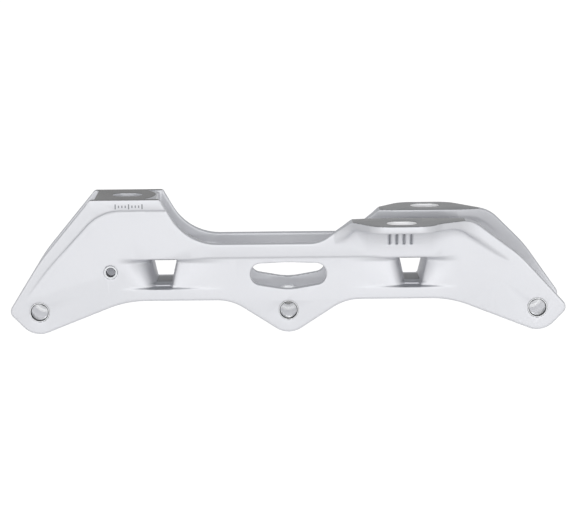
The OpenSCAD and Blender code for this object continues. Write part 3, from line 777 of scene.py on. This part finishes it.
def lit_slot_walls(tree, axes):
    """Mask of the painted light within the ears' boot slots: near a slot's middle along and across the frame.
    """
    mask = 0.0
    for side in (OUTER, INNER):
        slot = within(tree, (axes["X"], SLOT_X[side] * MM, SLOT_ALONG * MM),
                      (axes["Y"], side * SLOT_Y * MM, SLOT_ACROSS * MM))
        mask = add(tree, "Math", {0: mask, 1: slot}, operation="MAXIMUM")
    return mask


# Floor of a bridge window, in mm: half length, middle and half height, and where it is light and where its
# painted shade is full
SILL_HALF, SILL_Z, SILL_HIGH, SILL_LIGHT, SILL_DARK = 6.5, 23.5, 0.8, 8.6, 6.6


def shaded_window_floors(tree, axes, bridge):
    """Mask of the painted shade on the floors of the bridge windows, round each bridge's middle. It grows to
    the middle plane.
    """
    far = add(tree, "Math", {0: axes["X"]}, operation="ABSOLUTE")
    out = add(tree, "Math", {0: axes["Y"]}, operation="ABSOLUTE")
    deep = add(tree, "MapRange", {"Value": out, "From Min": SILL_LIGHT * MM, "From Max": SILL_DARK * MM})
    floor = within(tree, (far, bridge, SILL_HALF * MM), (axes["Z"], SILL_Z * MM, SILL_HIGH * MM))
    return add(tree, "Math", {0: floor, 1: deep}, operation="MULTIPLY")


# Where along the frame and over which heights painted shade grows on the walls' inner faces, in mm. A face
# looks inwards where the product of its look and its place across the frame is below a value.
INNER_SHADE_START, INNER_SHADE_END, INNER_SHADE_LOW, INNER_SHADE_HIGH, INNER_SHADE_LOOK = 55, 95, 14, 30, -0.006


def inner_shade_faces(tree, axes, normal):
    """Mask of the painted shade on the walls' inner faces, which look to the middle plane. It grows upwards
    and to the toe.
    """
    look = add(tree, "Math", {0: normal["Y"], 1: axes["Y"]}, operation="MULTIPLY")
    mask = add(tree, "Math", {0: look, 1: INNER_SHADE_LOOK}, operation="LESS_THAN")
    for axis, start, end in (("Z", INNER_SHADE_LOW, INNER_SHADE_HIGH), ("X", INNER_SHADE_START, INNER_SHADE_END)):
        grown = add(tree, "MapRange", {"Value": axes[axis], "From Min": start * MM, "From Max": end * MM})
        mask = add(tree, "Math", {0: mask, 1: grown}, operation="MULTIPLY")
    return mask


# Length of one wave of a wave texture at a scale of 1
WAVE = 2 * math.pi / 20
# Skin of a seat, in mm under its height, and the place along the frame past which the ears' seats lie
SEAT_SKIN, EARS_FROM = 0.08, 20
# Grain of the blasted skin is about 0.5 mm, drawn at 1.2 mm so that it shows
GRAIN = 1.2
# Slow change of tone, in mm, and the share that it darkens to
CLOUD, CLOUD_TONE = 60, 0.93
# Cutter marks are about 0.3 mm apart, drawn at 1.2 mm so that they show. They lie in arcs about a point that
# is this far beside the frame, and darken the seat to a share.
CUTTER, CUTTER_ASIDE, CUTTER_TONE = 1.2, 120, 0.78


def clear_coated_casting(colours, sizes):
    """Die-cast aluminium, blasted and clear coated, with bare milled seats. The coat gives a pale satin
    silver with a very fine grain. The seats are darker, partly as bare metal and partly as painted shade,
    the rear seat darkest, and the cutter leaves close arcs on them; they end sharply at their edges. Faces
    that look up get painted shade and are greyer than the walls. The ears' slots get painted light and stay
    bright. The floors of the bridge windows get painted shade that darkens towards the middle plane, and the
    walls' inner faces get painted shade that grows grey upwards and towards the toe."""
    material = bpy.data.materials.new("clear_coated_cast_aluminium")
    tree = blank(material)
    where = add(tree, "TexCoord").outputs["Object"]
    axes = add(tree, "SeparateXYZ", {0: where}).outputs
    normal = add(tree, "SeparateXYZ", {0: add(tree, "NewGeometry").outputs["Normal"]}).outputs
    rear, high, ahead = (
        add(tree, "Math", {0: value, 1: limit}, operation="GREATER_THAN") for value, limit in (
            (axes["Z"], sizes.rear_seat_h - SEAT_SKIN * MM), (axes["Z"], sizes.front_seat_h - SEAT_SKIN * MM),
            (axes["X"], EARS_FROM * MM)))
    front = add(tree, "Math", {0: high, 1: ahead}, operation="MULTIPLY")
    seat = add(tree, "Math", {0: rear, 1: front}, operation="MAXIMUM")

    grain = add(tree, "TexNoise", {"Vector": where, "Scale": 1 / (GRAIN * MM), "Detail": 3.0}).outputs["Fac"]
    cloud = add(tree, "TexNoise", {"Vector": where, "Scale": 1 / (CLOUD * MM), "Detail": 2.0}).outputs["Fac"]
    arcs = add(tree, "Mapping", {"Vector": where, "Location": (0.0, CUTTER_ASIDE * MM, 0.0)})
    cutter = add(tree, "TexWave", {"Vector": arcs, "Scale": WAVE / (CUTTER * MM), "Distortion": 0.4},
                 wave_type="RINGS", rings_direction="Z").outputs["Fac"]
    # Painted shade: the rear seat is mixed to a darker milled tone than the ears' seats
    cut = add(tree, "Mix", {"Factor": rear, "A": colours.milled, "B": colours.milled_rear_shade}, data_type="RGBA")
    lines = add(tree, "Mix", {"Factor": cutter, "A": cut, "B": darker((1, 1, 1), CUTTER_TONE)},
                data_type="RGBA", blend_type="MULTIPLY")
    # Painted shade: faces that look up are mixed to the grey top tone
    upper = add(tree, "MapRange", {"Value": normal["Z"], "From Min": 0.25, "From Max": 0.7})
    layers = (
        (cloud, darker(colours.cast, CLOUD_TONE)),
        # Painted shade on the walls' inner faces
        (inner_shade_faces(tree, axes, normal), colours.core),
        (upper, colours.top_shade),
        # Painted shade on the floors of the bridge windows
        (shaded_window_floors(tree, axes, sizes.axle_pitch / 2), colours.sill_shade),
        # Painted light on the walls of the boot slots
        (lit_slot_walls(tree, axes), colours.slot),
        (seat, lines),
        # The scale's ticks, and painted shade in the grooves
        (marks_and_groove_shade(tree, axes), colours.mark))
    base = colours.cast
    for mask, tone in layers:
        base = add(tree, "Mix", {"Factor": mask, "A": base, "B": tone}, data_type="RGBA")

    rough_cast = add(tree, "MapRange", {"Value": grain, "To Min": 0.45, "To Max": 0.57})
    rough_seat = add(tree, "MapRange", {"Value": cutter, "To Min": 0.30, "To Max": 0.42})
    rough = add(tree, "Mix", {"Factor": seat, "A": rough_cast, "B": rough_seat}, data_type="FLOAT")
    height = add(tree, "Mix", {"Factor": seat, "A": grain, "B": cutter}, data_type="FLOAT")
    bump = add(tree, "Bump", {"Height": height, "Strength": 0.08, "Distance": 0.05 * MM})
    metal = add(tree, "MapRange", {"Value": seat, "To Min": 0.5, "To Max": 1.0})
    skin = add(tree, "BsdfPrincipled", {"Base Color": base, "Metallic": metal, "Roughness": rough,
                                        "Normal": bump})
    add(tree, "OutputMaterial", {"Surface": skin})
    return material


# Painted shade in the bores of the turned pieces, in mm: radius, and the place across the frame up to which
# it reaches. The plain bushes get a thin dark ring of it at the outer face, and the tapped pieces are dark
# all the way through.
ALL_THROUGH = 1000
BUSH_BORE_SHADES = {"outer": (4.4, -15.5), "inner": (3.55, ALL_THROUGH)}
INSERT_BORE_SHADES = {"outer": (2.3, ALL_THROUGH), "inner": (2.3, ALL_THROUGH)}
# Turned rings are about 0.1 mm apart, drawn coarser so that they show. They darken the steel to a share.
BUSH_RINGS, INSERT_RINGS, RING_TONE = 1.8, 0.8, 0.82


def turned_steel(name, steel, dark, bore_shade, middle, spacing):
    """Steel turned on a lathe: bright, with fine rings about its own axis that catch the light in arcs.
    Painted shade in its bore, out to a radius and outside a place across the frame, draws a thin dark ring."""
    material = bpy.data.materials.new(name)
    tree = blank(material)
    where = add(tree, "TexCoord").outputs["Object"]
    about = add(tree, "Mapping", {"Vector": where, "Location": (-middle.x, 0.0, -middle.z)})
    rings = add(tree, "TexWave", {"Vector": about, "Scale": WAVE / (spacing * MM), "Detail": 1.0},
                wave_type="RINGS", rings_direction="Y").outputs["Fac"]
    turned = add(tree, "Mix", {"Factor": rings, "A": steel, "B": darker(steel, RING_TONE)}, data_type="RGBA")
    flat = add(tree, "VectorMath", {0: about, 1: (1.0, 0.0, 1.0)}, operation="MULTIPLY")
    radius = add(tree, "VectorMath", {0: flat}, operation="LENGTH")
    across = add(tree, "SeparateXYZ", {0: where}).outputs["Y"]
    inside, far_out = (add(tree, "Math", {0: value, 1: limit * MM}, operation="LESS_THAN")
                       for value, limit in zip((radius, across), bore_shade))
    # Painted shade in the bore
    shaded_bore = add(tree, "Math", {0: inside, 1: far_out}, operation="MULTIPLY")
    base = add(tree, "Mix", {"Factor": shaded_bore, "A": turned, "B": dark}, data_type="RGBA")
    rough = add(tree, "MapRange", {"Value": rings, "To Min": 0.22, "To Max": 0.34})
    bump = add(tree, "Bump", {"Height": rings, "Strength": 0.25, "Distance": 0.03 * MM})
    skin = add(tree, "BsdfPrincipled", {"Base Color": base, "Metallic": 1.0, "Roughness": rough,
                                        "Normal": bump})
    add(tree, "OutputMaterial", {"Surface": skin})
    return material


def finish_turned(names, metal, steel, dark, bore_shades, spacing):
    """Gives each of some turned pieces its finish, with the rings about the piece's own middle."""
    if not names:
        raise LookupError(f"the frame holds no piece of {metal}")
    for name in names:
        low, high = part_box(name)
        bore_shade = bore_shades["outer" if "outer" in name else "inner"]
        give(frame["nodes"][name],
             turned_steel(f"{metal}_{name}", steel, dark, bore_shade, (low + high) / 2, spacing))


# Operators

MOST_TRIANGLES, SHARP_ANGLE = 200000, math.radians(50)
# How far a piece may reach out of the solids' own box, in mm
BOX_HAIR = 0.05


def keep_in_box(piece):
    """Raises an error where a piece reaches out of the solids' own box by more than a hair."""
    low, high = (np.array(corner) for corner in CAD_BOX)
    points = np.empty(len(piece.data.vertices) * 3, np.float32)
    piece.data.vertices.foreach_get("co", points)
    points = points.reshape(-1, 3)
    over = max((low - points.min(0)).max(), (points.max(0) - high).max()) / MM
    if over > BOX_HAIR:
        raise ValueError(f"{piece.name} reaches {over:.2f} mm out of the solids' box")


class SKATEFRAME_OT_casting(bpy.types.Operator):
    """Works out the casting as one smooth surface and puts it in place of its plain solid"""
    bl_idname = "skateframe.casting"
    bl_label = "Casting"

    def execute(self, context):
        sizes = context.scene.skate_casting
        s = in_mm(sizes)
        field, first = casting_field(s)
        points, faces = net(field)
        if not len(faces):
            raise RuntimeError("the casting has no surface at these sizes")
        piece = mesh_object("casting", (points * s.grid + first) * MM, faces)
        thin_out(piece, sizes.triangles)
        piece.data.calc_loop_triangles()
        if len(piece.data.loop_triangles) > MOST_TRIANGLES:
            raise RuntimeError("the casting has too many triangles, so its grid has to be coarser")
        keep_in_box(piece)
        piece.data.shade_smooth()
        piece.data.set_sharp_from_angle(angle=SHARP_ANGLE)
        give(piece, clear_coated_casting(context.scene.skate_colours, sizes))
        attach(piece, "root")
        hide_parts("frame_casting")
        return {"FINISHED"}


class SKATEFRAME_OT_bushes(bpy.types.Operator):
    """Gives the six axle bushes their turned finish"""
    bl_idname = "skateframe.bushes"
    bl_label = "Axle bushes"

    def execute(self, context):
        colours = context.scene.skate_colours
        finish_turned(BUSHES, "turned_steel", colours.steel, colours.bore_shade, BUSH_BORE_SHADES, BUSH_RINGS)
        return {"FINISHED"}


class SKATEFRAME_OT_inserts(bpy.types.Operator):
    """Gives the two brake inserts their plated finish"""
    bl_idname = "skateframe.inserts"
    bl_label = "Brake inserts"

    def execute(self, context):
        colours = context.scene.skate_colours
        finish_turned(INSERTS, "plated_steel", colours.insert, colours.bore_shade, INSERT_BORE_SHADES, INSERT_RINGS)
        return {"FINISHED"}


# Lamps: name, degrees from the camera's side towards the toe, degrees above the frame, distance in metres,
# height as a share of that distance, power in watts
LAMPS = (("left", -19, 2.2, 2.5, 0.048, 6.4),
         ("right", 24, 2.2, 1.2, 0.048, 1.75),
         ("high", 0, 19, 2.5, 0.36, 7.6))
# Point that the lamps look at, and their width as a share of their distance
LAMP_AIM, LAMP_WIDTH = Vector((0, 0, 0.03)), 0.36
# The floor's half length in metres, its share that is seen as white, that white, and the surround's fill
FLOOR_HALF, FLOOR_SEEN, FLOOR_WHITE, FILL = 4.0, 0.88, 1.16, 0.34
WHITE = (1.0, 1.0, 1.0, 1.0)
# Sensor's width in mm, and the nearest and furthest thing that the camera shows, in metres
SENSOR, NEAREST, FURTHEST = 36, 0.01, 100


def outwards(turn, rise):
    """Direction away from the frame, turned from the camera's side towards the toe and then raised."""
    return Vector((math.sin(turn) * math.cos(rise), -math.cos(turn) * math.cos(rise), math.sin(rise)))


def lamp(name, turn, rise, far, height, power):
    """A soft lamp at a distance from the frame's middle, which it looks at."""
    light = bpy.data.lights.new(name, "AREA")
    light.shape = "RECTANGLE"
    light.size = LAMP_WIDTH * far
    light.size_y = height * far
    light.energy = power
    out = outwards(math.radians(turn), math.radians(rise))
    made = bpy.data.objects.new(name, light)
    made.location = LAMP_AIM + out * far
    made.rotation_euler = (-out).to_track_quat("-Z", "Y").to_euler()
    bpy.context.scene.collection.objects.link(made)


def seen(tree):
    """1 for the rays of the camera and for what is seen in metal or through glass, and 0 for light."""
    rays = add(tree, "LightPath").outputs
    share = rays["Is Camera Ray"]
    for kind in ("Is Glossy Ray", "Is Transmission Ray"):
        share = add(tree, "Math", {0: share, 1: rays[kind]}, operation="MAXIMUM")
    return share


def pale_floor(tone):
    """Pale paper that the object shades, and that is seen as almost white."""
    corners = np.array([(-1, -1, 0), (1, -1, 0), (1, 1, 0), (-1, 1, 0)]) * FLOOR_HALF
    floor = mesh_object("floor", corners, np.array([(0, 1, 2, 3)]))
    material = bpy.data.materials.new("pale_studio_paper")
    tree = blank(material)
    share = add(tree, "Math", {0: seen(tree), 1: FLOOR_SEEN}, operation="MULTIPLY")
    paper = add(tree, "BsdfDiffuse", {"Color": tone})
    white = add(tree, "Emission", {"Color": WHITE, "Strength": FLOOR_WHITE})
    add(tree, "OutputMaterial", {"Surface": add(tree, "MixShader", {0: share, 1: paper, 2: white})})
    give(floor, material)


def white_surround():
    """A world that is seen as white and lights the object with a weaker fill."""
    world = bpy.data.worlds.new("soft_white_surround")
    tree = blank(world)
    fill = add(tree, "Background", {"Color": WHITE, "Strength": FILL})
    white = add(tree, "Background", {"Color": WHITE, "Strength": 1.0})
    add(tree, "OutputWorld", {"Surface": add(tree, "MixShader", {0: seen(tree), 1: fill, 2: white})})
    return world


def photo_camera(st):
    """A camera at a distance from the point that it looks at, rolled about its own line of sight."""
    if st.distance <= 0 or st.focal <= 0:
        raise ValueError("the camera needs a distance and a lens above zero")
    back = outwards(st.yaw, st.pitch)
    level = Vector((math.cos(st.yaw), math.sin(st.yaw), 0))
    up = back.cross(level)
    right = level * math.cos(st.roll) + up * math.sin(st.roll)
    top = up * math.cos(st.roll) - level * math.sin(st.roll)
    view = bpy.data.cameras.new("camera")
    view.sensor_width = SENSOR
    view.lens = st.focal / MM
    view.clip_start, view.clip_end = NEAREST, FURTHEST
    camera = bpy.data.objects.new("camera", view)
    turn = Matrix((right, top, back)).transposed().to_4x4()
    camera.matrix_world = Matrix.Translation(Vector((st.aim_x, 0, st.aim_z)) + back * st.distance) @ turn
    bpy.context.scene.collection.objects.link(camera)
    return camera


class SKATEFRAME_OT_stage(bpy.types.Operator):
    """Sets the floor, the soft studio light, the white surround and the camera"""
    bl_idname = "skateframe.stage"
    bl_label = "Stage"

    def execute(self, context):
        scene = context.scene
        scene.view_settings.view_transform = "Standard"
        pale_floor(scene.skate_colours.floor)
        scene.world = white_surround()
        for settings in LAMPS:
            lamp(*settings)
        scene.camera = photo_camera(scene.skate_stage)
        return {"FINISHED"}


OPERATORS = (SKATEFRAME_OT_casting, SKATEFRAME_OT_bushes, SKATEFRAME_OT_inserts, SKATEFRAME_OT_stage)


class SKATEFRAME_PT_pieces(bpy.types.Panel):
    """Lists the pieces of the skate frame"""
    bl_idname = "SKATEFRAME_PT_pieces"
    bl_label = "Skate frame"
    bl_space_type = "VIEW_3D"
    bl_region_type = "UI"
    bl_category = "Skate frame"

    def draw(self, context):
        for operator in OPERATORS:
            self.layout.operator(operator.bl_idname)


GROUPS = {"skate_casting": CastingSizes, "skate_colours": FinishColours, "skate_stage": StageSizes}
CLASSES = (*GROUPS.values(), *OPERATORS, SKATEFRAME_PT_pieces)


def register():
    """Registers the classes and hangs the property groups on the scene."""
    for kind in CLASSES:
        bpy.utils.register_class(kind)
    for name, group in GROUPS.items():
        setattr(bpy.types.Scene, name, PointerProperty(type=group))


def unregister():
    """Takes the property groups off the scene and the classes out again."""
    for name in GROUPS:
        delattr(bpy.types.Scene, name)
    for kind in reversed(CLASSES):
        bpy.utils.unregister_class(kind)


def main():
    """Builds the pieces and the stage in order."""
    register()
    bpy.ops.skateframe.casting()
    bpy.ops.skateframe.bushes()
    bpy.ops.skateframe.inserts()
    bpy.ops.skateframe.stage()


if __name__ == "__main__":
    main()
